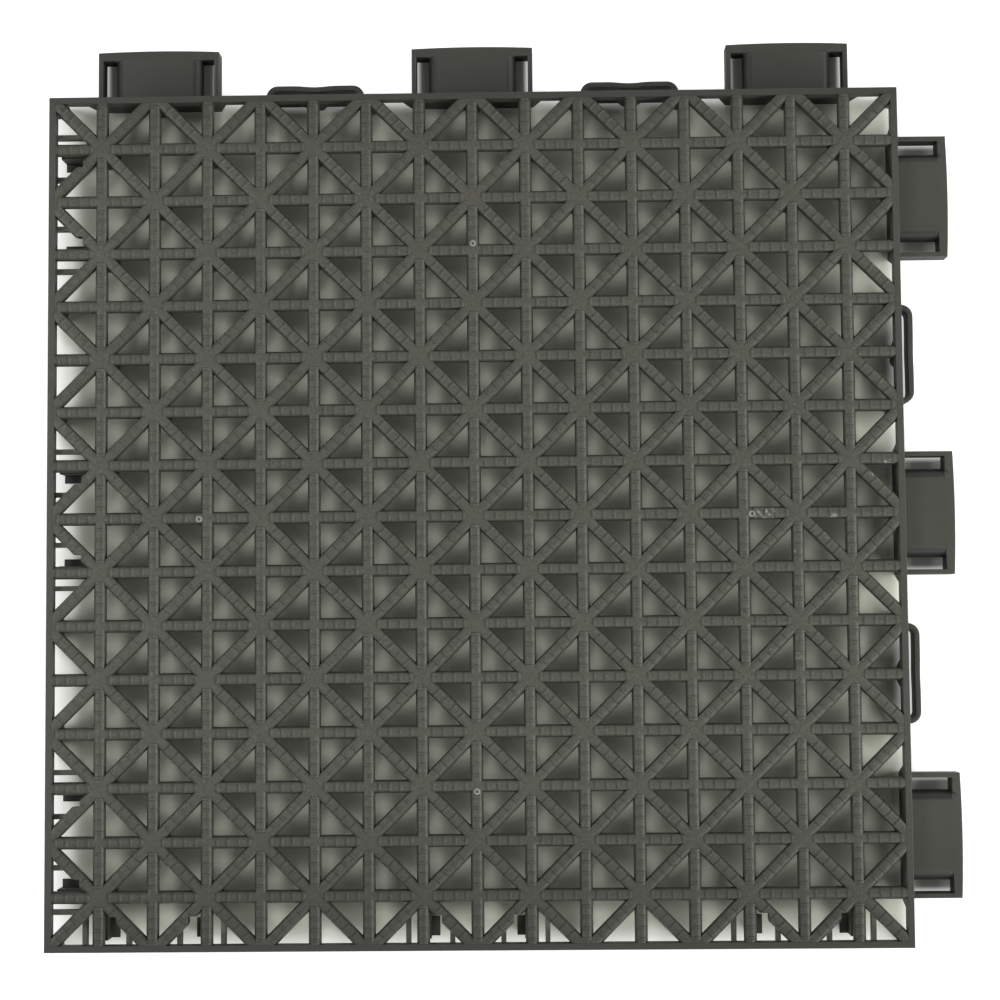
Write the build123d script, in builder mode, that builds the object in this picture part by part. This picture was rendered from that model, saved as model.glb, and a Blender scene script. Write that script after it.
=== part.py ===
"""Interlocking sport court tile: one injection moulding, 12 in square.

The walking surface is a square grid of crowned ribs with one diagonal rib in every cell, so that
nodes with eight ribs (stars) and nodes with four ribs (plain) alternate. A tapered post carries
each star. Two edges carry flat loops, and the two others carry the hooks that snap into a
neighbour's loops. X and Y run along the edges, Z = 0 is the floor, and the origin is the
centre of the grid. All lengths are in millimetres.
"""

import os
from math import cos, radians, sin, tan

from build123d import *

# Grid
pitch = 19.05
cells = 16
height = 15.9
rib_width = 3.9
rib_depth = 4.8
crown = 0.9

# Posts under the star nodes
post_foot_radius = 4.3

# Deep walls behind the loops and tongues behind the springs
wall_slope = 3.6
tongue_half = 2.4
tongue_slope = 3.9

# Loops that stand out from the right and top edges
loop_nodes = (2, 8, 14)
loop_width = 44.0
loop_reach = 19.0
loop_bow = 0.5
loop_height = 7.5
loop_bar = 3.5
loop_side = 1.75
slot_floor_width = 4.4
shoulder_radius = 4.0
plateau_thickness = 2.5
shoulder_foot = 3.0

# Springs between the loops
spring_nodes = (5, 11)
spring_length = 35.7
spring_reach = 4.4
spring_band = 2.0
spring_height = 7.5
spring_corner = 4.2

# Latches under the left and bottom edges
stiffener_places = (-24.5, -9.0, 9.0, 24.5)
stiffener_width = 1.75
stiffener_top = 11.7
stiffener_depth = 3.2
stiffener_seat = 1.0
hook_setback = 3.6
hook_length = 6.8
hook_tab = 2.0
hook_tab_length = 11.0
hook_lip = 2.8
hook_lip_edge = 0.8
hook_floor_gap = 0.5
hook_side_play = 0.65
hook_catch_play = 0.2
notch_reach = 12.4
notch_inner = 12.6

# Worked out from the sizes above
side = pitch * cells
half_side = side / 2
half_rib = rib_width / 2
underside = height - rib_depth
half_angle = radians(22.5)
post_radius = half_rib / sin(half_angle)
slot_outer = loop_width / 2 - loop_side
plateau_half = slot_outer - slot_floor_width
loop_end = half_side + loop_reach
bar_inner = loop_end - loop_bar
shoulder_middle = (plateau_half - shoulder_radius, loop_height - shoulder_radius)
spring_middle = (spring_length / 2 - spring_corner, half_side + spring_reach - spring_corner)
hook_inner = plateau_half + hook_side_play
hook_outer = hook_inner + hook_tab
lip_inner = hook_inner - hook_lip
lip_top = shoulder_foot - hook_catch_play
diagonal_mirror = Plane(origin=(0, 0, 0), z_dir=(1, -1, 0))


def node_place(index):
    """Distance of a node line from the centre of the tile."""
    return index * pitch - half_side


def diagonal_reach(place):
    """How far in from the edge the diagonal rib lies, beside a star on the edge."""
    return min(abs(place), 2 * pitch - abs(place))


def post_places():
    """Stars that stand on a post: all but those where a neighbour's loop goes in."""
    return [
        (node_place(i), node_place(j))
        for i in range(cells + 1)
        for j in range(cells + 1)
        if (i + j) % 2 == 0 and not (i == 0 and j in loop_nodes) and not (j == 0 and i in loop_nodes)
    ]


def quarter_turn(across, up, radius):
    """Corners of a rounded shoulder, from its top round to its side, in three flats."""
    return [
        (across + radius * sin(radians(angle)), up + radius * cos(radians(angle)))
        for angle in (0, 30, 60, 90)
    ]


# A triangular opening beside a star at the origin, with its right angle at the plain node on +X
corner = (pitch - half_rib, half_rib)
tip = (half_rib / tan(half_angle), half_rib)
top = (pitch - half_rib, pitch - half_rib / tan(half_angle))
flared_corner = (corner[0] + crown, corner[1] - crown)
flared_tip = (tip[0] - crown / tan(half_angle), tip[1] - crown)
flared_top = (top[0] + crown, top[1] + crown / tan(half_angle))

with BuildPart() as opening:
    with BuildSketch(Plane.XY.offset(height)):
        with BuildLine():
            Polyline(flared_tip, flared_corner, flared_top, close=True)
        make_face()
    with BuildSketch(Plane.XY.offset(height - crown)):
        with BuildLine():
            Polyline(tip, corner, top, close=True)
        make_face()
    loft()
    extrude(opening.faces().sort_by(Axis.Z)[0], amount=rib_depth - crown)

# The eight openings around one star
with BuildPart() as star_openings:
    with PolarLocations(0, 4):
        add(opening.part)
    mirror(star_openings.part, about=diagonal_mirror)

# One post, as wide as the star at the underside of the ribs
with BuildPart() as post:
    with BuildSketch():
        RegularPolygon(post_foot_radius, 8, rotation=22.5)
    with BuildSketch(Plane.XY.offset(underside)):
        RegularPolygon(post_radius, 8, rotation=22.5)
    loft()

# All the posts, cut off flush with the edges of the tile
with BuildPart() as posts:
    with Locations(*post_places()):
        add(post.part)
    Box(side, side, 2 * underside, mode=Mode.INTERSECT)

# One loop on the right edge
with BuildPart() as loop:
    with BuildSketch():
        with BuildLine():
            Polyline(
                (loop_end - loop_bow, -loop_width / 2),
                (half_side - half_rib, -loop_width / 2),
                (half_side - half_rib, loop_width / 2),
                (loop_end - loop_bow, loop_width / 2),
                (loop_end, loop_width / 6),
                (loop_end, -loop_width / 6),
                close=True,
            )
        make_face()
        with Locations(((half_side + bar_inner) / 2, 0)):
            Rectangle(bar_inner - half_side, 2 * slot_outer, mode=Mode.SUBTRACT)
    extrude(amount=loop_height)
    # The plateau between the slots is an arch whose shoulders roll down into them
    with BuildSketch(Plane.YZ.offset(half_side)):
        with BuildLine():
            Polyline(
                (0, loop_height),
                *quarter_turn(*shoulder_middle, shoulder_radius),
                (plateau_half, shoulder_foot),
                (plateau_half - plateau_thickness, shoulder_foot),
                *reversed(quarter_turn(*shoulder_middle, shoulder_radius - plateau_thickness)),
                (0, loop_height - plateau_thickness),
                close=True,
            )
        make_face()
        mirror(about=Plane.YZ)
    extrude(amount=bar_inner - half_side)
    # The wall behind the loop reaches the floor
    with BuildSketch(Plane.YZ.offset(half_side)):
        with BuildLine():
            Polyline(
                (-loop_width / 2, 0),
                (loop_width / 2, 0),
                (loop_width / 2 + wall_slope, underside),
                (-loop_width / 2 - wall_slope, underside),
                close=True,
            )
        make_face()
    extrude(amount=-half_rib)

# One spring on the right edge, with the tongue of the wall behind it
with BuildPart() as spring:
    with BuildSketch():
        with BuildLine():
            Polyline(
                (0, half_side + spring_reach),
                *quarter_turn(*spring_middle, spring_corner),
                (spring_length / 2, half_side),
                (spring_length / 2 - spring_band, half_side),
                *reversed(quarter_turn(*spring_middle, spring_corner - spring_band)),
                (0, half_side + spring_reach - spring_band),
                close=True,
            )
        make_face()
        mirror(about=Plane.YZ)
        mirror(about=diagonal_mirror, mode=Mode.REPLACE)
    extrude(amount=spring_height)
    with BuildSketch(Plane.YZ.offset(half_side)):
        with BuildLine():
            Polyline(
                (-tongue_half, 0),
                (tongue_half, 0),
                (tongue_half + tongue_slope, underside),
                (-tongue_half - tongue_slope, underside),
                close=True,
            )
        make_face()
    extrude(amount=-half_rib)

# One latch on the left edge: four stiffening bars that end at the diagonal ribs, and two hooks that
# face each other on tabs, which run back to the posts
with BuildPart() as latch:
    with BuildSketch(Plane.XY.offset(stiffener_top)):
        for place in stiffener_places:
            start = half_rib - stiffener_seat
            with Locations((start - half_side, place)):
                Rectangle(diagonal_reach(place) - start, stiffener_width, align=(Align.MIN, Align.CENTER))
    extrude(amount=-stiffener_depth)
    with BuildSketch(Plane.XY.offset(hook_floor_gap)):
        with Locations((hook_setback - half_side, hook_inner)):
            Rectangle(hook_tab_length, hook_tab, align=Align.MIN)
        mirror(about=Plane.XZ)
    extrude(amount=underside - hook_floor_gap)
    with BuildSketch(Plane.YZ.offset(hook_setback - half_side)):
        with BuildLine():
            Polyline(
                (hook_inner, lip_top),
                (lip_inner, lip_top),
                (lip_inner, lip_top - hook_lip_edge),
                (hook_inner, hook_floor_gap),
                close=True,
            )
        make_face()
        mirror(about=Plane.YZ)
    extrude(amount=hook_length)

# The square windows over the hooks, which notch the diagonal ribs
with BuildPart() as windows:
    with BuildSketch(Plane.XY.offset(underside)):
        with Locations((half_rib - half_side, notch_inner)):
            Rectangle(notch_reach - half_rib, pitch - half_rib - notch_inner, align=Align.MIN)
        mirror(about=Plane.XZ)
    extrude(amount=rib_depth)

# The windows of all six latches
with BuildPart() as latch_windows:
    with Locations(*[(0, node_place(index)) for index in loop_nodes]):
        add(windows.part)
    mirror(latch_windows.part, about=diagonal_mirror)

# Everything along the edges, made for one side of the diagonal and mirrored onto the other
with BuildPart() as edging:
    with Locations(*[(0, node_place(index)) for index in loop_nodes]):
        add(loop.part)
        add(latch.part)
    with Locations(*[(0, node_place(index)) for index in spring_nodes]):
        add(spring.part)
    mirror(edging.part, about=diagonal_mirror)
    # A flat rim closes the flare along the four edges
    with BuildSketch(Plane.XY.offset(underside)):
        Rectangle(side, side)
        Rectangle(side - rib_width, side - rib_width, mode=Mode.SUBTRACT)
    extrude(amount=rib_depth)

# The tile
with BuildPart() as court_tile:
    with BuildSketch(Plane.XY.offset(underside)):
        Rectangle(side, side)
    extrude(amount=rib_depth)
    with GridLocations(2 * pitch, 2 * pitch, cells // 2, cells // 2):
        add(star_openings.part, mode=Mode.SUBTRACT)
    add(latch_windows.part, mode=Mode.SUBTRACT)
    add([posts.part, edging.part])

court_tile.part.label = "court_tile"
os.makedirs("parts", exist_ok=True)
export_step(court_tile.part, "parts/court_tile.step")
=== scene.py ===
import math

import bmesh
import bpy
from mathutils import Matrix, Vector


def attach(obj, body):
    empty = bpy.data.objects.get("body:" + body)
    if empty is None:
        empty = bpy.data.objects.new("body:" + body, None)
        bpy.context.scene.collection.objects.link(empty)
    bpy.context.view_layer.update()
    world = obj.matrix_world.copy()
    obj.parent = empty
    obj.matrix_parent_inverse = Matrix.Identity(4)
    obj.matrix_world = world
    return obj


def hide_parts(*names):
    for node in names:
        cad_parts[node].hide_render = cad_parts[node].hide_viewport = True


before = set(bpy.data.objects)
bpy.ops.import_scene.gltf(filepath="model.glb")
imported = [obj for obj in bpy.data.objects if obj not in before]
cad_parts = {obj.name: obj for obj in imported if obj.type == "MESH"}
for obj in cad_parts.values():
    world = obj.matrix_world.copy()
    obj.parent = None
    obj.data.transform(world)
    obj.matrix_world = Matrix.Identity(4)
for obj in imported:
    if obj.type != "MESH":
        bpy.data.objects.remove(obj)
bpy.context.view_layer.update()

# Sizes in metres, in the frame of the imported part
mm = 0.001
hair = 0.01 * mm
merge_reach = 0.002 * mm
cut_reach = 1e-7
smooth_angle = math.radians(40)
along_x, along_y, along_z = Vector((1, 0, 0)), Vector((0, 1, 0)), Vector((0, 0, 1))

# The grid
cells = 16
height = 15.9 * mm
pitch = 19.05 * mm
half_side = cells * pitch / 2
half_rib = 1.95 * mm
rib_depth = 4.8 * mm
underside = height - rib_depth
star_angle = math.radians(22.5)

# The crown of a rib: distance from its middle, drop there, and drop in the hub round a star
ridge_height = 0.33 * mm
crown_top = height - ridge_height
crown_profile = (
    (0.6 * mm, 0.06 * mm, 0.02 * mm),
    (1.05 * mm, 0.2 * mm, 0.12 * mm),
    (1.4 * mm, 0.42 * mm, 0.32 * mm),
    (1.68 * mm, 0.72 * mm, 0.62 * mm),
    (1.95 * mm, 1.1 * mm, 1.05 * mm),
    (2.28 * mm, 1.9 * mm, 1.9 * mm),
)
half_rib_below = 1.7 * mm

# The fine ridges across the ribs
ridge_foot = 0.6 * mm
ridge_crest = 0.3 * mm
ridge_end = 1.85 * mm
ridge_step = pitch / 5
diagonal_ridge_step = 3.96 * mm

# The mark on a star: radius and rise of each of its rings
hub_ring = (
    (1.25 * mm, 0.0),
    (1.02 * mm, 0.14 * mm),
    (0.9 * mm, 0.14 * mm),
    (0.66 * mm, 0.04 * mm),
    (0.3 * mm, 0.04 * mm),
    (0.14 * mm, 0.14 * mm),
)
hub_ring_seat = 0.04 * mm
hub_ring_sides = 12

# The rim, and the walls below it
rim_width = 2.35 * mm
rim_seat = 0.03 * mm
rim_edge = 0.25 * mm
wall_edge = 0.15 * mm
wall_slope = 3.6 * mm
tongue_half = 2.4 * mm
tongue_slope = 3.9 * mm

# Posts
post_sides = 20
post_foot = 4.1 * mm
post_top = 4.75 * mm
post_edge = 0.5 * mm

# Loops
loop_nodes = (2, 8, 14)
loop_width = 44.0 * mm
loop_reach = 19.0 * mm
loop_bow = 0.5 * mm
loop_height = 7.5 * mm
loop_bar = 3.5 * mm
loop_side = 1.75 * mm
slot_floor_width = 4.4 * mm
shoulder_radius = 4.0 * mm
shoulder_steps = 8
plateau_thickness = 2.5 * mm
shoulder_foot = 3.0 * mm
loop_edge = 0.35 * mm
slot_outer = loop_width / 2 - loop_side
plateau_half = slot_outer - slot_floor_width
loop_end = half_side + loop_reach
bar_inner = loop_end - loop_bar

# Springs between the loops
spring_nodes = (5, 11)
spring_length = 35.7 * mm
spring_reach = 5.4 * mm
spring_band = 2.0 * mm
spring_corner = 4.2 * mm
spring_corner_steps = 8
spring_edge = 0.3 * mm
spring_root = 0.6 * mm
spring_dip_half = 8.0 * mm
right_spring_dip = 0.12 * mm
top_spring_dip = 0.5 * mm

# Latches, which take a neighbour's loops
stiffener_places = (-24.5 * mm, -9.0 * mm, 9.0 * mm, 24.5 * mm)
stiffener_width = 1.75 * mm
stiffener_top = 11.7 * mm
stiffener_depth = 3.2 * mm
stiffener_seat = 1.0 * mm
stiffener_edge = 0.2 * mm
hook_setback = 3.6 * mm
hook_length = 6.8 * mm
hook_tab = 2.0 * mm
hook_tab_length = 11.0 * mm
hook_lip = 2.8 * mm
hook_lip_edge = 0.8 * mm
hook_floor_gap = 0.5 * mm
hook_side_play = 0.65 * mm
hook_catch_play = 0.2 * mm
notch_reach = 12.4 * mm
notch_inner = 12.6 * mm
notch_end = pitch - half_rib - 0.1 * mm
notch_margin = 6.0 * mm
hook_inner = plateau_half + hook_side_play
lip_top = shoulder_foot - hook_catch_play


def node_place(index):
    """Distance of a node line from the centre of the tile."""
    return index * pitch - half_side


# Ways of working


def only(piece):
    """Makes a piece the one that is selected."""
    bpy.ops.object.select_all(action="DESELECT")
    piece.select_set(True)
    bpy.context.view_layer.objects.active = piece


def edit(piece):
    only(piece)
    bpy.ops.object.mode_set(mode="EDIT")


def leave():
    bpy.ops.object.mode_set(mode="OBJECT")


def name_piece(name):
    """Names the object that was just made."""
    piece = bpy.context.object
    piece.name = name
    piece.data.name = name
    return piece


def pick_faces(piece, test):
    """Selects the faces that pass a test on their centre and normal."""
    bpy.ops.mesh.select_mode(type="FACE")
    bpy.ops.mesh.select_all(action="DESELECT")
    mesh = bmesh.from_edit_mesh(piece.data)
    for face in mesh.faces:
        if test(face.calc_center_median(), face.normal):
            face.select_set(True)
    bmesh.update_edit_mesh(piece.data)


def pick_edges(piece, test):
    """Selects the edges whose two ends pass a test."""
    bpy.ops.mesh.select_mode(type="EDGE")
    bpy.ops.mesh.select_all(action="DESELECT")
    mesh = bmesh.from_edit_mesh(piece.data)
    for edge in mesh.edges:
        if test(edge.verts[0].co, edge.verts[1].co):
            edge.select_set(True)
    bmesh.update_edit_mesh(piece.data)


def pick_corners(piece, test):
    """Selects the vertices whose place passes a test."""
    bpy.ops.mesh.select_mode(type="VERT")
    bpy.ops.mesh.select_all(action="DESELECT")
    mesh = bmesh.from_edit_mesh(piece.data)
    for corner in mesh.verts:
        if test(corner.co):
            corner.select_set(True)
    mesh.select_flush_mode()
    bmesh.update_edit_mesh(piece.data)


def cut(piece, axis, places):
    """Cuts a whole piece across at each place along an axis."""
    for place in places:
        bpy.ops.mesh.select_all(action="SELECT")
        bpy.ops.mesh.bisect(plane_co=axis * place, plane_no=axis, threshold=cut_reach)


def use_modifier(piece, kind, **settings):
    """Adds a modifier with its settings and applies it."""
    only(piece)
    modifier = piece.modifiers.new(kind.lower(), kind)
    for key, value in settings.items():
        setattr(modifier, key, value)
    bpy.ops.object.modifier_apply(modifier=modifier.name)


def clean_mesh(piece):
    """Merges doubles and turns every face outwards."""
    edit(piece)
    bpy.ops.mesh.select_all(action="SELECT")
    bpy.ops.mesh.remove_doubles(threshold=merge_reach)
    bpy.ops.mesh.normals_make_consistent(inside=False)
    leave()


def shade(piece):
    """Shades a piece smooth except at its sharp edges."""
    only(piece)
    bpy.ops.object.shade_smooth_by_angle(angle=smooth_angle)
    use_modifier(piece, "WEIGHTED_NORMAL", keep_sharp=True)


def move_to(piece, place):
    """Moves a piece and leaves it at the origin, untransformed."""
    only(piece)
    piece.location = place
    bpy.ops.object.transform_apply(location=True, rotation=True, scale=True)


def copy_at(piece, name, place=(0, 0, 0)):
    """Copies a piece, with a mesh of its own, to another place."""
    twin = piece.copy()
    twin.data = piece.data.copy()
    twin.name = name
    twin.data.name = name
    bpy.context.scene.collection.objects.link(twin)
    move_to(twin, place)
    return twin


def swap_sides(piece, name):
    """Copies a piece from the X side of the tile's diagonal to the Y side."""
    twin = copy_at(piece, name)
    twin.scale = (-1, 1, 1)
    twin.rotation_euler = (0, 0, -math.pi / 2)
    bpy.ops.object.transform_apply(location=True, rotation=True, scale=True)
    clean_mesh(twin)
    return twin


def join_as(pieces, name):
    bpy.ops.object.select_all(action="DESELECT")
    for piece in pieces:
        piece.select_set(True)
    bpy.context.view_layer.objects.active = pieces[0]
    bpy.ops.object.join()
    return name_piece(name)


def block(name, x, y, z, edge=0.0):
    """A block between two places along each axis, with its edges rounded a little."""
    bpy.ops.object.select_all(action="DESELECT")
    bpy.ops.mesh.primitive_cube_add(
        size=1, location=((x[0] + x[1]) / 2, (y[0] + y[1]) / 2, (z[0] + z[1]) / 2)
    )
    piece = name_piece(name)
    piece.scale = (x[1] - x[0], y[1] - y[0], z[1] - z[0])
    bpy.ops.object.transform_apply(location=True, rotation=True, scale=True)
    if edge:
        edit(piece)
        bpy.ops.mesh.select_all(action="SELECT")
        bpy.ops.mesh.bevel(offset=edge, segments=2, affect="EDGES")
        leave()
    return piece


def sheet(name, x, y, z):
    """A flat rectangle that faces up."""
    bpy.ops.object.select_all(action="DESELECT")
    bpy.ops.mesh.primitive_plane_add(size=1, location=((x[0] + x[1]) / 2, (y[0] + y[1]) / 2, z))
    piece = name_piece(name)
    piece.scale = (x[1] - x[0], y[1] - y[0], 1)
    bpy.ops.object.transform_apply(location=True, rotation=True, scale=True)
    return piece


def near(a, b):
    return abs(a - b) < hair


def triangle(name, right_angle, side, z):
    """A right-angled triangle: from its right angle one side runs along X, the other along Y."""
    x, y = right_angle
    piece = sheet(name, sorted((x, x - side[0])), sorted((y, y + side[1])), z)
    edit(piece)
    pick_corners(piece, lambda c: near(c.y, y + side[1]))
    bpy.ops.mesh.merge(type="COLLAPSE")
    bpy.ops.mesh.select_all(action="DESELECT")
    pick_corners(piece, lambda c: near(c.y, y + side[1]))
    bpy.ops.transform.translate(value=(side[0] / 2, 0, 0))
    leave()
    return piece


# The ribs: a triangle of the grid between a star at the origin, a plain node and the next star

ways = {
    "across": (along_x, lambda c: abs(c.y)),
    "up": (along_y, lambda c: abs(pitch - c.x)),
    "diagonal": (Vector((1, 1, 0)).normalized(), lambda c: abs(c.x - c.y) / math.sqrt(2)),
}


def on_way(place, way):
    """Is this place on this rib, and not on one of the two others round the opening?"""
    return ways[way][1](place) <= min(away(place) for _, away in ways.values()) + cut_reach


def crown_of_triangle():
    piece = triangle("rib_crown", (pitch, 0), (pitch, pitch), crown_top)
    edit(piece)
    bpy.ops.mesh.select_mode(type="FACE")
    bpy.ops.mesh.select_all(action="SELECT")
    reached, fallen = 0, 0
    for distance, drop, _ in crown_profile:
        bpy.ops.mesh.inset(thickness=distance - reached, depth=0, use_even_offset=True)
        bpy.ops.transform.translate(value=(0, 0, fallen - drop))
        reached, fallen = distance, drop
    bpy.ops.mesh.delete(type="ONLY_FACE")
    # The crowns run together in a flat hub round each star
    for distance, drop, hub_drop in crown_profile:
        tip = Vector((distance / math.tan(star_angle), distance))
        other = Vector((pitch - tip.y, pitch - tip.x))
        pick_corners(
            piece,
            lambda c: min((c.xy - tip).length, (c.xy - other).length) < 2 * hair,
        )
        bpy.ops.transform.translate(value=(0, 0, drop - hub_drop))
    return piece


def raise_ridges(piece):
    """Cuts the crowns across at each ridge and lifts the crest."""
    middle = pitch / math.sqrt(2)
    runs = {
        "across": [ridge_step * k for k in (1, 2, 3, 4)],
        "up": [ridge_step * k for k in (1, 2, 3, 4)],
        "diagonal": [middle + diagonal_ridge_step * k for k in (-1.5, -0.5, 0.5, 1.5)],
    }
    for way, places in runs.items():
        along, away = ways[way]
        for place in places:
            for offset in (-ridge_foot, -ridge_crest, ridge_crest, ridge_foot):
                pick_faces(piece, lambda c, n: on_way(c, way) and away(c) < ridge_end)
                bpy.ops.mesh.bisect(
                    plane_co=along * (place + offset), plane_no=along, threshold=cut_reach
                )
            pick_corners(
                piece,
                lambda c: abs(along.dot(c) - place) < ridge_crest + hair
                and away(c) < ridge_end - 5 * hair,
            )
            bpy.ops.transform.translate(value=(0, 0, ridge_height))


def rib_unit():
    """The ribs of the four cells round one star."""
    crown = crown_of_triangle()
    raise_ridges(crown)
    leave()
    bottom = triangle("rib_bottom", (pitch, 0), (pitch, pitch), underside)
    edit(bottom)
    bpy.ops.mesh.select_mode(type="FACE")
    bpy.ops.mesh.select_all(action="SELECT")
    bpy.ops.mesh.flip_normals()
    bpy.ops.mesh.inset(thickness=half_rib_below, depth=0, use_even_offset=True)
    bpy.ops.mesh.delete(type="ONLY_FACE")
    leave()
    piece = join_as([crown, bottom], "rib_triangle")
    # The walls of the opening
    wall_top = crown_top - crown_profile[-1][1]
    edit(piece)
    pick_edges(
        piece,
        lambda a, b: near(a.z, b.z)
        and (near(a.z, wall_top) or near(a.z, underside))
        and min(away(c) for _, away in ways.values() for c in (a, b)) > half_rib_below - 5 * hair,
    )
    bpy.ops.mesh.bridge_edge_loops()
    leave()
    piece = join_as([piece, swap_sides(piece, "rib_triangle_swapped")], "rib_cell")
    use_modifier(piece, "MIRROR", use_axis=(True, True, False), merge_threshold=merge_reach)
    clean_mesh(piece)
    return piece


def repeat(piece, count, step):
    """Repeats a piece in rows along X and Y."""
    for axis in (0, 1):
        move = [0, 0, 0]
        move[axis] = step
        use_modifier(
            piece,
            "ARRAY",
            count=count,
            use_relative_offset=False,
            use_constant_offset=True,
            constant_offset_displace=move,
            use_merge_vertices=True,
            merge_threshold=merge_reach,
        )


def trim(piece, reach, fill):
    """Cuts off what lies further out than a reach, on all four sides."""
    for axis in (along_x, along_y):
        for sign in (-1, 1):
            bpy.ops.mesh.select_all(action="SELECT")
            bpy.ops.mesh.bisect(
                plane_co=axis * sign * reach,
                plane_no=axis * sign,
                clear_outer=True,
                use_fill=fill,
                threshold=cut_reach,
            )


def notch(piece, inwards, sideways, middle):
    """Cuts the square window over a hook out of the diagonal rib beside it."""
    reach = notch_reach - half_side
    start = middle + notch_inner
    end = middle + notch_end

    def around(c, n):
        return (
            c.dot(inwards) < reach + notch_margin
            and start - notch_margin < c.dot(sideways) < end + 5 * hair
        )

    def on_reach(c):
        return near(c.dot(inwards), reach) and start - hair < c.dot(sideways) < end

    def on_start(c):
        return near(c.dot(sideways), start) and c.dot(inwards) < reach + hair

    for axis, place in ((inwards, reach), (sideways, start)):
        pick_faces(piece, around)
        bpy.ops.mesh.bisect(plane_co=axis * place, plane_no=axis, threshold=cut_reach)
    pick_faces(piece, lambda c, n: c.dot(inwards) < reach and start < c.dot(sideways) < end)
    bpy.ops.mesh.delete(type="FACE")
    pick_corners(piece, lambda c: on_reach(c) and on_start(c))
    bpy.ops.mesh.edge_face_add()
    for test in (on_reach, on_start):
        pick_edges(piece, lambda a, b: test(a) and test(b))
        bpy.ops.mesh.edge_face_add()


def rib_quarters():
    """The grating in four pieces, with the windows over the hooks cut out."""
    quarter = rib_unit()
    repeat(quarter, cells // 4, 2 * pitch)
    finished = []
    low, high = 1, cells // 2 + 1
    for name, x, y in (
        ("ribs_left_bottom", low, low),
        ("ribs_right_bottom", high, low),
        ("ribs_left_top", low, high),
        ("ribs_right_top", high, high),
    ):
        piece = copy_at(quarter, name, (node_place(x), node_place(y), 0))
        edit(piece)
        # The half rib along each edge gives way to the rim
        trim(piece, half_side - rim_width + rim_seat, False)
        for index in loop_nodes:
            for sign in (-1, 1):
                middle = node_place(index)
                window = middle + sign * notch_inner
                if x == low and abs(window - node_place(y)) < half_side:
                    notch(piece, along_x, sign * along_y, sign * middle)
                if y == low and abs(window - node_place(x)) < half_side:
                    notch(piece, along_y, sign * along_x, sign * middle)
        leave()
        shade(piece)
        finished.append(piece)
    bpy.data.objects.remove(quarter)
    return finished


def rim():
    """The flat frame round the ribs."""
    piece = sheet("rim", (-half_side, half_side), (-half_side, half_side), crown_top)
    edit(piece)
    bpy.ops.mesh.select_mode(type="FACE")
    bpy.ops.mesh.select_all(action="SELECT")
    bpy.ops.mesh.inset(thickness=rim_width, depth=0)
    bpy.ops.mesh.delete(type="FACE")
    leave()
    use_modifier(piece, "SOLIDIFY", thickness=crown_top - underside + rim_seat, offset=-1)
    edit(piece)
    pick_edges(
        piece,
        lambda a, b: near(a.z, crown_top)
        and near(b.z, crown_top)
        and (near(a.x, b.x) or near(a.y, b.y)),
    )
    bpy.ops.mesh.bevel(offset=rim_edge, segments=3, affect="EDGES")
    leave()
    shade(piece)
    return piece


def set_on_stars(piece, name, first):
    """Sets a piece on every star: the even ones from the first on, and all the odd ones."""
    odd = copy_at(piece, "odd_stars")
    repeat(piece, cells // 2 + 1 - first, 2 * pitch)
    repeat(odd, cells // 2, 2 * pitch)
    move_to(piece, (node_place(first), node_place(first), 0))
    move_to(odd, (node_place(1), node_place(1), 0))
    return join_as([piece, odd], name)


def posts():
    """Tapered round posts under the stars, cut off flush with the edges.

    Where a neighbour's loop goes in under the left or bottom edge, the star there has no post.
    """
    bpy.ops.object.select_all(action="DESELECT")
    bpy.ops.mesh.primitive_cone_add(
        vertices=post_sides,
        radius1=post_foot,
        radius2=post_top,
        depth=underside,
        location=(0, 0, underside / 2),
        end_fill_type="NGON",
    )
    post = name_piece("post")
    bpy.ops.object.transform_apply(location=True, rotation=True, scale=True)
    edit(post)
    pick_faces(post, lambda c, n: n.z > 0.9)
    bpy.ops.mesh.delete(type="ONLY_FACE")
    pick_edges(post, lambda a, b: near(a.z, 0) and near(b.z, 0))
    bpy.ops.mesh.bevel(offset=post_edge, segments=1, affect="EDGES")
    leave()
    piece = set_on_stars(post, "posts", 0)
    edit(piece)
    for index in loop_nodes:
        spot = Vector((-half_side, node_place(index)))
        pick_corners(
            piece,
            lambda c: min((c.xy - spot).length, (c.xy - spot.yx).length) < 2 * post_top,
        )
        bpy.ops.mesh.delete(type="VERT")
    trim(piece, half_side - hair, True)
    leave()
    clean_mesh(piece)
    shade(piece)
    return piece


def hub_marks():
    """A faint ring with a dot in it on top of every star."""
    bpy.ops.object.select_all(action="DESELECT")
    bpy.ops.mesh.primitive_circle_add(
        vertices=hub_ring_sides,
        radius=hub_ring[0][0],
        fill_type="NGON",
        location=(0, 0, crown_top - hub_ring_seat),
    )
    mark = name_piece("hub_mark")
    bpy.ops.object.transform_apply(location=True, rotation=True, scale=True)
    edit(mark)
    bpy.ops.mesh.select_all(action="SELECT")
    for (radius, rise), (before, risen) in zip(hub_ring[1:], hub_ring):
        bpy.ops.mesh.inset(thickness=before - radius, depth=0, use_even_offset=True)
        bpy.ops.transform.translate(value=(0, 0, rise - risen))
    leave()
    piece = set_on_stars(mark, "hub_marks", 2)
    shade(piece)
    return piece


# The right edge, at the middle of it


def deep_wall(name, half_foot, slope):
    """A wall from the floor to the underside of the ribs, wider at the top."""
    piece = block(
        name, (half_side - half_rib, half_side), (-half_foot, half_foot), (0, underside - rim_seat)
    )
    edit(piece)
    for sign in (-1, 1):
        pick_corners(piece, lambda c: c.z > mm and c.y * sign > 0)
        bpy.ops.transform.translate(value=(0, sign * slope, 0))
    bpy.ops.mesh.select_all(action="SELECT")
    bpy.ops.mesh.bevel(offset=wall_edge, segments=2, affect="EDGES")
    leave()
    return piece


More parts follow.
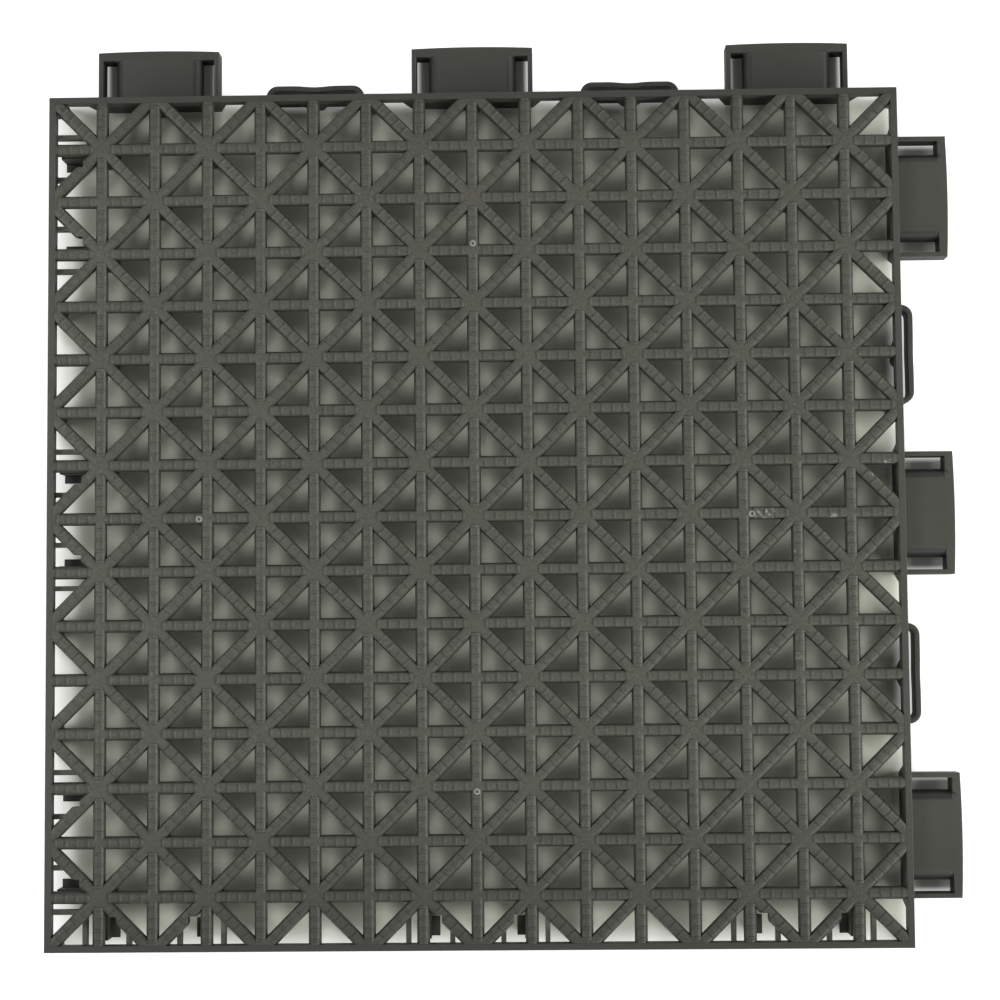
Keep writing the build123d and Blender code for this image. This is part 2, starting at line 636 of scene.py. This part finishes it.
def loop_ring():
    """The bar across the end of the loop and its two sides."""
    straight_end = loop_end - loop_bow
    piece = sheet(
        "loop_ring",
        (half_side - half_rib / 2, straight_end),
        (-loop_width / 2, loop_width / 2),
        loop_height,
    )
    edit(piece)
    cut(piece, along_x, (bar_inner,))
    bow_places = [k * loop_width / 16 for k in range(-7, 8)]
    bow_places += [-slot_outer, slot_outer, -plateau_half, plateau_half]
    cut(piece, along_y, bow_places)
    pick_faces(piece, lambda c, n: c.x < bar_inner and abs(c.y) < slot_outer)
    bpy.ops.mesh.delete(type="FACE")
    for place in bow_places:
        pick_corners(piece, lambda c: near(c.x, straight_end) and near(c.y, place))
        share = 1 - (2 * place / loop_width) ** 2
        bpy.ops.transform.translate(value=(loop_bow * share, 0, 0))
    leave()
    use_modifier(piece, "SOLIDIFY", thickness=loop_height, offset=-1)
    edit(piece)

    def rounded(a, b):
        """The top edges outside and round the slots, but not where the plateau joins on."""
        if not (near(a.z, loop_height) and near(b.z, loop_height)):
            return False
        if near(a.x, bar_inner) and near(b.x, bar_inner):
            return max(abs(a.y), abs(b.y)) > plateau_half + hair
        outside = min(a.x, b.x) > straight_end - hair
        side = near(abs(a.y), loop_width / 2) and near(abs(b.y), loop_width / 2)
        slot = near(abs(a.y), slot_outer) and near(abs(b.y), slot_outer)
        return outside or side or (slot and max(a.x, b.x) < bar_inner + hair)

    pick_edges(piece, rounded)
    bpy.ops.mesh.bevel(offset=loop_edge, segments=3, affect="EDGES")
    leave()
    return piece


def loop_plateau():
    """The arch between the slots, with shoulders that roll down into them."""
    flat_half = plateau_half - shoulder_radius
    piece = sheet(
        "loop_plateau",
        (half_side - half_rib / 2, bar_inner),
        (-flat_half, flat_half),
        loop_height,
    )
    edit(piece)
    for sign in (-1, 1):
        pick_edges(piece, lambda a, b: near(a.y, sign * flat_half) and near(b.y, sign * flat_half))
        bpy.ops.mesh.spin(
            steps=shoulder_steps,
            angle=sign * math.pi / 2,
            center=(0, sign * flat_half, loop_height - shoulder_radius),
            axis=(1, 0, 0),
        )
        bpy.ops.mesh.extrude_region_move(
            TRANSFORM_OT_translate={"value": (0, 0, shoulder_foot + shoulder_radius - loop_height)}
        )
    bpy.ops.mesh.select_all(action="SELECT")
    bpy.ops.mesh.remove_doubles(threshold=merge_reach)
    leave()
    use_modifier(piece, "SOLIDIFY", thickness=plateau_thickness, offset=-1, use_even_offset=True)
    return piece


def spring(dip):
    """A thin band that stands off the edge between two loops and dips in at its middle."""
    piece = sheet(
        "spring",
        (half_side - spring_band, half_side + spring_reach),
        (-spring_length / 2, spring_length / 2),
        loop_height,
    )
    edit(piece)
    pick_corners(piece, lambda c: c.x > half_side + mm)
    bpy.ops.mesh.bevel(offset=spring_corner, segments=spring_corner_steps, affect="VERTICES")
    bpy.ops.mesh.select_mode(type="FACE")
    bpy.ops.mesh.select_all(action="SELECT")
    bpy.ops.mesh.inset(thickness=spring_band, depth=0, use_even_offset=True)
    bpy.ops.mesh.delete(type="FACE")
    bpy.ops.mesh.select_all(action="SELECT")
    bpy.ops.mesh.bisect(
        plane_co=along_x * (half_side - spring_root),
        plane_no=-along_x,
        clear_outer=True,
        threshold=cut_reach,
    )
    dip_places = [spring_dip_half * k / 4 for k in range(-4, 5)]
    cut(piece, along_y, dip_places)
    for place in dip_places:
        pick_corners(piece, lambda c: near(c.y, place) and c.x > half_side + mm)
        share = 0.5 + 0.5 * math.cos(math.pi * place / spring_dip_half)
        bpy.ops.transform.translate(value=(-dip * share, 0, 0))
    leave()
    use_modifier(piece, "SOLIDIFY", thickness=loop_height, offset=-1)
    edit(piece)
    pick_edges(
        piece,
        lambda a, b: near(a.z, loop_height)
        and near(b.z, loop_height)
        and max(a.x, b.x) > half_side - spring_root / 2,
    )
    bpy.ops.mesh.bevel(offset=spring_edge, segments=2, affect="EDGES")
    leave()
    return piece


# The left edge, at the middle of it


def hook(sign):
    """A tab with a lip that catches under a neighbour's loop."""
    inner, outer = sign * hook_inner, sign * (hook_inner + hook_tab)
    lip_end = inner - sign * hook_lip
    start = hook_setback - half_side
    piece = block(
        "hook",
        (start, start + hook_tab_length),
        sorted((inner, outer)),
        (hook_floor_gap, underside),
    )
    edit(piece)
    cut(piece, along_z, (lip_top,))
    cut(piece, along_x, (start + hook_length,))
    pick_faces(
        piece, lambda c, n: near(c.y, inner) and c.z < lip_top and c.x < start + hook_length
    )
    bpy.ops.mesh.extrude_region_move(TRANSFORM_OT_translate={"value": (0, -sign * hook_lip, 0)})
    pick_corners(piece, lambda c: near(c.y, lip_end) and near(c.z, hook_floor_gap))
    bpy.ops.transform.translate(value=(0, 0, lip_top - hook_lip_edge - hook_floor_gap))
    pick_edges(piece, lambda a, b: near(a.y, lip_end) and near(b.y, lip_end))
    bpy.ops.mesh.bevel(offset=wall_edge, segments=2, affect="EDGES")
    leave()
    return piece


def latch():
    """Four stiffening bars that end at the diagonal ribs, and two hooks that face each other."""
    parts = []
    for place in stiffener_places:
        diagonal_reach = min(abs(place), 2 * pitch - abs(place))
        parts.append(
            block(
                "stiffener",
                (half_rib - stiffener_seat - half_side, diagonal_reach - half_side),
                (place - stiffener_width / 2, place + stiffener_width / 2),
                (stiffener_top - stiffener_depth, stiffener_top),
                stiffener_edge,
            )
        )
    return join_as(parts + [hook(-1), hook(1)], "latch")


# Materials. Every tone is a linear colour

cloud_tones = ((0.06, 0.062, 0.048, 1), (0.087, 0.089, 0.07, 1))
mottle_tone = (0.115, 0.112, 0.09, 1)
pit_tone = (0.035, 0.033, 0.025, 1)
worn_tone = (0.19, 0.185, 0.16, 1)
scuff_tone = (0.4, 0.4, 0.37, 1)
gate_tone = (0.5, 0.48, 0.42, 1)
# Painted shade where the light falls off near the bottom and top edges
falloff_shade_tone = (0.03, 0.031, 0.025, 1)
smooth_tone = (0.035, 0.036, 0.03, 1)
# Painted shade on the loop shoulders and on the plain parts below the loop tops
shoulder_shade_tone = (0.018, 0.018, 0.015, 1)
# Painted light on the tops of the stiffeners
stiffener_light_tone = (0.17, 0.17, 0.14, 1)
# Painted shade on the rib flanks and on what stands deep under the grating
deep_shade_tone = (0.042, 0.042, 0.034, 1)

# How much of a tone is mixed in
rib_mottling = 0.55
plain_mottling = 0.18
worn_share = 0.5
scuff_share = 0.6
# Painted shade near the bottom and top edges
bottom_shade_share = 0.6
top_shade_share = 0.4
smooth_share = 0.3
rim_share = 0.15
# Share of the painted shade on the loop shoulders
shoulder_shade_share = 0.9

# The noises: scales, and the values between which they turn into marks
cloud_scale = 38.0
fibre_scale = 700.0
fine_scale = 900.0
pit_scale = 1100.0
mottle_scale = 1500.0
grain_scale = 3200.0
fibre_values = (0.5, 0.58)
worn_values = (0.6, 0.72)
pit_values = (0.3, 0.46)
mottle_values = (0.38, 0.66)

# How far the tones reach. Where there are two, the change is soft from the first to the second
worn_depth = 0.35 * mm
# Painted shade on the rib flanks, by drop below the crown top
flank_drop = (-1.1 * mm, -0.6 * mm)
# Painted shade near the bottom and top edges
bottom_shade_reach = (-10 * mm, 75 * mm)
top_shade_reach = (-30 * mm, 5 * mm)
rim_inside = (-4 * mm, -2 * mm)
# Painted shade on the loop shoulders and below the loop tops
roll_drop = (-1.8 * mm, -0.1 * mm)
roll_aside = (12.2 * mm, 13.4 * mm)
slot_side = (-0.5 * mm, 0)
plateau_root = (0, 0.2 * mm)
plateau_end = (-1.2 * mm, 0)
# Painted light on the stiffener tops, by height
stiffener_band = (0.1 * mm, 0.25 * mm)
# Painted shade below the underside of the ribs, kept off the outer faces
under_ribs = (-1 * mm, 0)
outer_face = (-0.1 * mm, 0)
bump_strength = 0.35
bump_height = 0.06 * mm

# The floor: under the tile, round it, and in the painted shadow under a loop
covered_floor = (0.86, 0.88, 0.74, 1)
open_floor = (0.86, 0.86, 0.86, 1)
loop_shadow_floor = (0.1, 0.1, 0.09, 1)
floor_glow = 0.75
right_gloom = 0.3
top_gloom = 0.75

# Where the floor turns from covered to open, beside each edge; the white reaching in under the
# edge is painted light
open_left = (-8 * mm, 13 * mm)
open_bottom = (-9 * mm, 9 * mm)
open_right_top = (-4 * mm, 6 * mm)

# The half posts whose painted shadow shows on the floor, and where it lies beside them
shading_posts = (4, 6, 10, 12)
post_shade = (9 * mm, -5 * mm)
post_shade_radius = 11 * mm
post_shade_share = 0.95

# The painted shadow of a loop on the floor: where it starts and ends, its sides, and the sides of
# its dark middle
loop_shade_start = (-6 * mm, 0)
loop_shade_end = (1 * mm, 3 * mm)
loop_shade_side = (-2 * mm, 1.5 * mm)
loop_shade_middle = (-3.5 * mm, 0)
loop_shade_share = 0.97

# The round marks of the moulding gates: their places, and the outer and inner reach of the ring
gates = (
    (0.1 * mm, 97.5 * mm),
    (-98.0 * mm, -0.4 * mm),
    (98.2 * mm, -0.3 * mm),
    (0.1 * mm, -97.2 * mm),
)
gate_outer = 1.3 * mm
gate_inner = 0.9 * mm

# Whitish scuffs: place and radius
scuffs = (
    (103.0 * mm, -0.3 * mm, 5.0 * mm),
    (126.7 * mm, -2.0 * mm, 2.2 * mm),
    (124.7 * mm, -8.0 * mm, 1.6 * mm),
    (146.0 * mm, 17.3 * mm, 3.0 * mm),
    (141.3 * mm, 13.7 * mm, 1.8 * mm),
    (144.0 * mm, 11.0 * mm, 1.4 * mm),
    (112.4 * mm, -14.0 * mm, 1.2 * mm),
    (113.4 * mm, -50.5 * mm, 1.6 * mm),
    (159.7 * mm, -10.4 * mm, 1.2 * mm),
)


class Wire:
    """A value in a material: arithmetic on it adds Math nodes."""

    def __init__(self, finish, socket):
        self.finish = finish
        self.socket = socket

    def combine(self, operation, first, second=0.0):
        added = self.finish.node("ShaderNodeMath", {"operation": operation}, _0=first, _1=second)
        return Wire(self.finish, added.outputs[0])

    def __add__(self, other):
        return self.combine("ADD", self, other)

    def __radd__(self, other):
        return self.combine("ADD", other, self)

    def __sub__(self, other):
        return self.combine("SUBTRACT", self, other)

    def __rsub__(self, other):
        return self.combine("SUBTRACT", other, self)

    def __mul__(self, other):
        return self.combine("MULTIPLY", self, other)

    def __rmul__(self, other):
        return self.combine("MULTIPLY", other, self)

    def __abs__(self):
        return self.combine("ABSOLUTE", self)

    def largest(self, other):
        return self.combine("MAXIMUM", self, other)


class Finish:
    """One material and the nodes it is made of."""

    def __init__(self, name):
        self.material = bpy.data.materials.new(name)
        self.material.use_nodes = True
        self.tree = self.material.node_tree
        self.tree.nodes.clear()
        self.place = self.out(self.node("ShaderNodeTexCoord"), "Object")
        self.x, self.y, self.z = (
            self.out(self.node("ShaderNodeSeparateXYZ", Vector=self.place), axis) for axis in "XYZ"
        )

    def node(self, kind, settings=None, **sockets):
        """Adds a node: first its settings, then the values or wires of its sockets."""
        added = self.tree.nodes.new(kind)
        for key, value in (settings or {}).items():
            setattr(added, key, value)
        for key, value in sockets.items():
            number = key[1:]
            socket = added.inputs[int(number) if number.isdigit() else key.replace("_", " ")]
            if isinstance(value, Wire):
                self.tree.links.new(value.socket, socket)
            else:
                socket.default_value = value
        return added

    def out(self, node, name):
        return Wire(self, node.outputs[name])

    def show(self, shader):
        """Puts a shader on the surface, and gives the finished material."""
        self.node("ShaderNodeOutputMaterial", Surface=self.out(shader, 0))
        return self.material

    def noise(self, scale, detail, roughness=0.55):
        texture = self.node(
            "ShaderNodeTexNoise",
            Vector=self.place,
            Scale=scale,
            Detail=detail,
            Roughness=roughness,
        )
        return self.out(texture, 0)

    def rise(self, value, start, end):
        """Rises from 0 to 1 as a value goes from start to end, with soft ends."""
        added = self.node(
            "ShaderNodeMapRange",
            {"interpolation_type": "SMOOTHSTEP"},
            Value=value,
            From_Min=start,
            From_Max=end,
        )
        return self.out(added, "Result")

    def fall(self, value, start, end):
        """Falls from 1 to 0 as a value goes from start to end, with soft ends."""
        return 1 - self.rise(value, start, end)

    def mix(self, factor, first, second):
        """Mixes two colours."""
        added = self.node("ShaderNodeMix", {"data_type": "RGBA"}, _0=factor, _6=first, _7=second)
        return Wire(self, added.outputs[2])

    def spot(self, place, radius):
        """A soft round spot."""
        reach = self.node(
            "ShaderNodeVectorMath", {"operation": "DISTANCE"}, _0=self.place, _1=place
        )
        return self.fall(self.out(reach, "Value"), 0.5 * radius, radius)

    def beside_loops(self):
        """For each loop: how far out from the middle of the tile, and how far to its side."""
        for out, across in ((self.x, self.y), (self.y, self.x)):
            for index in loop_nodes:
                yield out, abs(across - node_place(index))


def from_place(place, reaches):
    """The two places that lie these reaches from a place."""
    return [place + reach for reach in reaches]


def speckled(finish, tone, mottling, fine):
    """Adds the mottling, pits and wear of the surface to a tone."""
    mottle = finish.rise(finish.noise(mottle_scale, 4.0), *mottle_values)
    tone = finish.mix(mottle * mottling, tone, mottle_tone)
    pits = finish.fall(finish.noise(pit_scale, 3.0), *pit_values)
    tone = finish.mix(pits * mottling, tone, pit_tone)
    high = finish.rise(finish.z, crown_top - worn_depth, crown_top)
    worn = finish.rise(fine, *worn_values) * high
    return finish.mix(worn * worn_share, tone, worn_tone)


def marked(finish, tone):
    """Adds the scuffs and the gate marks to a tone."""
    scuffed = 0.0
    for x, y, radius in scuffs:
        scuffed = finish.spot((x, y, crown_top), radius).largest(scuffed)
    fibres = finish.rise(finish.noise(fibre_scale, 4.0, 0.7), *fibre_values)
    tone = finish.mix(scuffed * fibres * scuff_share, tone, scuff_tone)
    ringed = 0.0
    for x, y in gates:
        place = (x, y, crown_top)
        ring = finish.spot(place, gate_outer) - finish.spot(place, gate_inner)
        ringed = ring.largest(ringed)
    return finish.mix(ringed, tone, gate_tone)


def painted_falloff_shade(finish, tone):
    """Painted shade: makes a tone a little darker near the bottom and top edges of the tile, where
    the light falls off.
    """
    bottom = finish.fall(finish.y, *from_place(-half_side, bottom_shade_reach))
    top = finish.rise(finish.y, *from_place(half_side, top_shade_reach))
    return finish.mix(bottom * bottom_shade_share + top * top_shade_share, tone, falloff_shade_tone)


def rib_painted_shade(finish, tone):
    """Painted shade: darkens the flanks of the ribs below the crown."""
    bright = finish.rise(finish.z, *from_place(crown_top, flank_drop))
    return finish.mix(bright, deep_shade_tone, tone)


def plain_tone_and_painted_light(finish, tone):
    """The smooth rim, loops and springs; painted shade on the loop shoulders and deep under the
    grating, painted light on the stiffener tops.
    """
    # Painted shade: the loop shoulders and everything below the loop tops
    rolled = finish.fall(finish.z, *from_place(loop_height, roll_drop))
    for out, aside in finish.beside_loops():
        on_plateau = finish.rise(out, *from_place(half_side, plateau_root)) * finish.fall(
            out, *from_place(bar_inner, plateau_end)
        )
        shoulder = finish.rise(aside, *roll_aside) * finish.fall(
            aside, *from_place(slot_outer, slot_side)
        )
        rolled = (on_plateau * shoulder).largest(rolled)
    on_rim = finish.rise(abs(finish.y), *from_place(half_side, rim_inside))
    tone = finish.mix(smooth_share + rim_share * on_rim, tone, smooth_tone)
    tone = finish.mix(rolled * shoulder_shade_share, tone, shoulder_shade_tone)
    # Painted light on the tops of the stiffeners
    painted_light_on_stiffener = finish.fall(abs(finish.z - stiffener_top), *stiffener_band)
    tone = finish.mix(painted_light_on_stiffener, tone, stiffener_light_tone)
    # Painted shade on what stands deep under the grating, but not on the outer faces of the tile
    bright = finish.rise(finish.z, *from_place(underside, under_ribs))
    for place in (finish.x, finish.y):
        bright = bright.largest(finish.rise(place, *from_place(half_side, outer_face)))
    return finish.mix(bright, deep_shade_tone, tone)


def moulded_plastic(name, mottling, shading):
    """The plastic, with the painted light and shade of the ribs or of the plain parts."""
    finish = Finish(name)
    cloud = finish.noise(cloud_scale, 4.0)
    fine = finish.noise(fine_scale, 3.0)
    grain = finish.noise(grain_scale, 2.0)
    tone = finish.mix(cloud, *cloud_tones)
    tone = speckled(finish, tone, mottling, fine)
    tone = marked(finish, tone)
    # Painted shade near the bottom and top edges of the tile
    tone = painted_falloff_shade(finish, tone)
    bump = finish.node(
        "ShaderNodeBump",
        Strength=bump_strength,
        Distance=bump_height,
        Height=grain * 0.5 + fine,
    )
    shader = finish.node(
        "ShaderNodeBsdfPrincipled",
        Base_Color=shading(finish, tone),
        Roughness=0.4 + 0.14 * fine + 0.08 * cloud,
        Normal=finish.out(bump, "Normal"),
    )
    return finish.show(shader)


def white_ground():
    """White to the camera round the tile, and a pale floor under it, with painted light reaching
    in under the edges and painted shadows of the posts and loops.
    """
    finish = Finish("white_ground")
    # White round the tile, reaching in under its edges as painted light
    outside = finish.fall(finish.x, *from_place(-half_side, open_left))
    outside = outside.largest(finish.fall(finish.y, *from_place(-half_side, open_bottom)))
    for place in (finish.x, finish.y):
        outside = outside.largest(finish.rise(place, *from_place(half_side, open_right_top)))
    # Painted shadows: the half posts along the left edge darken the floor beside them, and so do
    # the loops
    for index in shading_posts:
        place = (post_shade[0] - half_side, post_shade[1] + node_place(index), 0)
        outside = outside * (1 - post_shade_share * finish.spot(place, post_shade_radius))
    # Painted shadow on the floor under each loop, darkest in its middle
    painted_loop_shadow = 0.0
    for out, aside in finish.beside_loops():
        reached = finish.rise(out, *from_place(half_side, loop_shade_start)) * finish.fall(
            out, *from_place(bar_inner, loop_shade_end)
        )
        covered = finish.fall(aside, *from_place(slot_outer, loop_shade_side))
        outside = outside * (1 - loop_shade_share * reached * covered)
        gloom = right_gloom if out is finish.x else top_gloom
        loop_shadow_middle = finish.fall(aside, *from_place(slot_outer, loop_shade_middle)) * gloom
        painted_loop_shadow = (reached * loop_shadow_middle).largest(painted_loop_shadow)
    pale = finish.mix(outside, covered_floor, open_floor)
    ground = finish.node(
        "ShaderNodeBsdfDiffuse", Color=finish.mix(painted_loop_shadow, pale, loop_shadow_floor)
    )
    path = finish.node("ShaderNodeLightPath")
    seen = finish.out(path, "Is Camera Ray").largest(finish.out(path, "Is Glossy Ray") * 0.3)
    glow = finish.node(
        "ShaderNodeEmission", Color=(1, 1, 1, 1), Strength=outside * seen * floor_glow
    )
    both = finish.node("ShaderNodeAddShader", _0=finish.out(ground, 0), _1=finish.out(glow, 0))
    return finish.show(both)


# The camera, the light and the floor

camera_place = Vector((21.38, -43.93, 740.62)) * mm
camera_forward = Vector((-0.017, 0.06786, -0.99755))
camera_up = Vector((0.00966, 0.99766, 0.06771))
camera_lens = 73.8
camera_sensor = 36

# Lamps: direction, share of a full light on the floor, and width and height
lamps = {
    "right_lamp": ((2.05, -0.05, 1), 0.26, (1.0, 0.35)),
    "front_right_lamp": ((1.35, -1.3, 1), 0.15, (0.6, 0.4)),
    "front_lamp": ((0.2, -1.4, 1), 0.08, (0.9, 0.4)),
    "back_lamp": ((0.2, 2.0, 1), 0.09, (1.4, 0.4)),
    "left_lamp": ((-0.76, 0.05, 1), 0.18, (0.7, 0.4)),
    "far_left_lamp": ((-2.1, 0.0, 1), 0.1, (1.0, 0.35)),
}
lamp_distance = 1.6
studio_light = 0.17
floor_size = 6
floor_gap = 0.02 * mm


def camera():
    data = bpy.data.cameras.new("camera")
    data.sensor_width = camera_sensor
    data.lens = camera_lens
    data.clip_start = 0.01
    seat = bpy.data.objects.new("camera", data)
    bpy.context.scene.collection.objects.link(seat)
    forward = camera_forward.normalized()
    right = forward.cross(camera_up).normalized()
    turn = Matrix((right, right.cross(forward), -forward)).transposed()
    seat.matrix_world = Matrix.Translation(camera_place) @ turn.to_4x4()
    bpy.context.scene.camera = seat


def lamp(name, towards, share, size):
    """A lamp, long sideways, that gives the floor this share of a full light."""
    data = bpy.data.lights.new(name, "AREA")
    data.shape = "RECTANGLE"
    data.size, data.size_y = size
    direction = Vector(towards).normalized()
    data.energy = share * (math.pi * lamp_distance) ** 2 / direction.z
    seat = bpy.data.objects.new(name, data)
    bpy.context.scene.collection.objects.link(seat)
    seat.location = direction * lamp_distance
    seat.rotation_euler = direction.to_track_quat("Z", "Y").to_euler()


def light():
    world = bpy.data.worlds.new("studio")
    bpy.context.scene.world = world
    world.use_nodes = True
    background = world.node_tree.nodes["Background"]
    background.inputs["Color"].default_value = (1, 1, 1, 1)
    background.inputs["Strength"].default_value = studio_light
    for name, (towards, share, size) in lamps.items():
        lamp(name, towards, share, size)


def floor():
    bpy.ops.object.select_all(action="DESELECT")
    bpy.ops.mesh.primitive_plane_add(size=floor_size, location=(0, 0, 0))
    piece = name_piece("floor")
    edit(piece)
    bpy.ops.mesh.select_all(action="SELECT")
    bpy.ops.mesh.subdivide(number_cuts=3)
    bpy.ops.transform.translate(value=(0, 0, -floor_gap))
    leave()
    return piece


# The whole tile


def set_along_edges(piece, nodes, name, swapped_name):
    """Copies a piece to its nodes on one edge, swapped to the other edge, or both."""
    shade(piece)
    copies = []
    for index in nodes:
        twin = copy_at(piece, f"{name or 'spare'}_{index}", (0, node_place(index), 0))
        if swapped_name:
            copies.append(swap_sides(twin, f"{swapped_name}_{index}"))
        if name:
            copies.append(twin)
        else:
            bpy.data.objects.remove(twin)
    bpy.data.objects.remove(piece)
    return copies


def finish_piece(piece, material):
    piece.data.materials.clear()
    piece.data.materials.append(material)
    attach(piece, "root")
    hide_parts("court_tile")


camera()
light()
bpy.context.scene.view_settings.view_transform = "Standard"

ground = floor()
ground.data.materials.append(white_ground())

pieces = rib_quarters()
pieces.append(hub_marks())
ribs = pieces[:]
pieces.append(rim())
pieces.append(posts())

loop_wall = deep_wall("loop_wall", loop_width / 2, wall_slope)
loop = join_as([loop_ring(), loop_plateau(), loop_wall], "loop")
pieces += set_along_edges(loop, loop_nodes, "right_loop", "top_loop")

for dip, name, swapped_name in (
    (right_spring_dip, "right_spring", None),
    (top_spring_dip, None, "top_spring"),
):
    tongue = deep_wall("tongue", tongue_half, tongue_slope)
    band = join_as([spring(dip), tongue], "spring")
    pieces += set_along_edges(band, spring_nodes, name, swapped_name)

pieces += set_along_edges(latch(), loop_nodes, "left_latch", "bottom_latch")

rib_plastic = moulded_plastic("rib_plastic", rib_mottling, rib_painted_shade)
plain_plastic = moulded_plastic("plain_plastic", plain_mottling, plain_tone_and_painted_light)
for piece in pieces:
    finish_piece(piece, rib_plastic if piece in ribs else plain_plastic)
